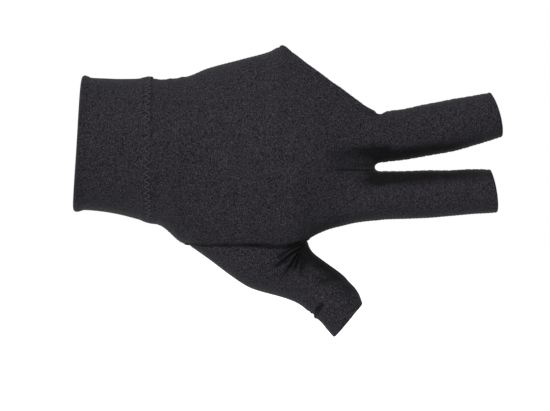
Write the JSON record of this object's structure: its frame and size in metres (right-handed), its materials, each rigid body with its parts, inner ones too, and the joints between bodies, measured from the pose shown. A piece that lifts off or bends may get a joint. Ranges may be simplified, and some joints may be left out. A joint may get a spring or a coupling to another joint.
{
  "type": "billiard glove",
  "caption": "Stretch-knit billiard glove for the left hand, with sleeves for thumb, index and middle fingers, an opening for the others, and a doubled cuff.",
  "frame": {"origin": "in the mouth of the cuff, on the middle line of the wrist, where the hand goes in", "axes": "+X from the wrist to the fingertips, +Y from the back of the hand to the palm, +Z from the thumb side to the little-finger side"},
  "size_m": [0.1933, 0.0412, 0.1331],
  "materials": {
    "knit": "matt black stretch knit with a fine grain",
    "cuff_knit": "the same knit doubled over, with a folded edge",
    "hem": "rolled and stitched edge, a little darker and smoother"
  },
  "bodies": {
    "root": {"cuff": "cuff_knit", "back_panel": "knit", "palm_panel": "knit", "thumb_sleeve": "knit", "opening_hem": "hem"}
  },
  "joints": []
}
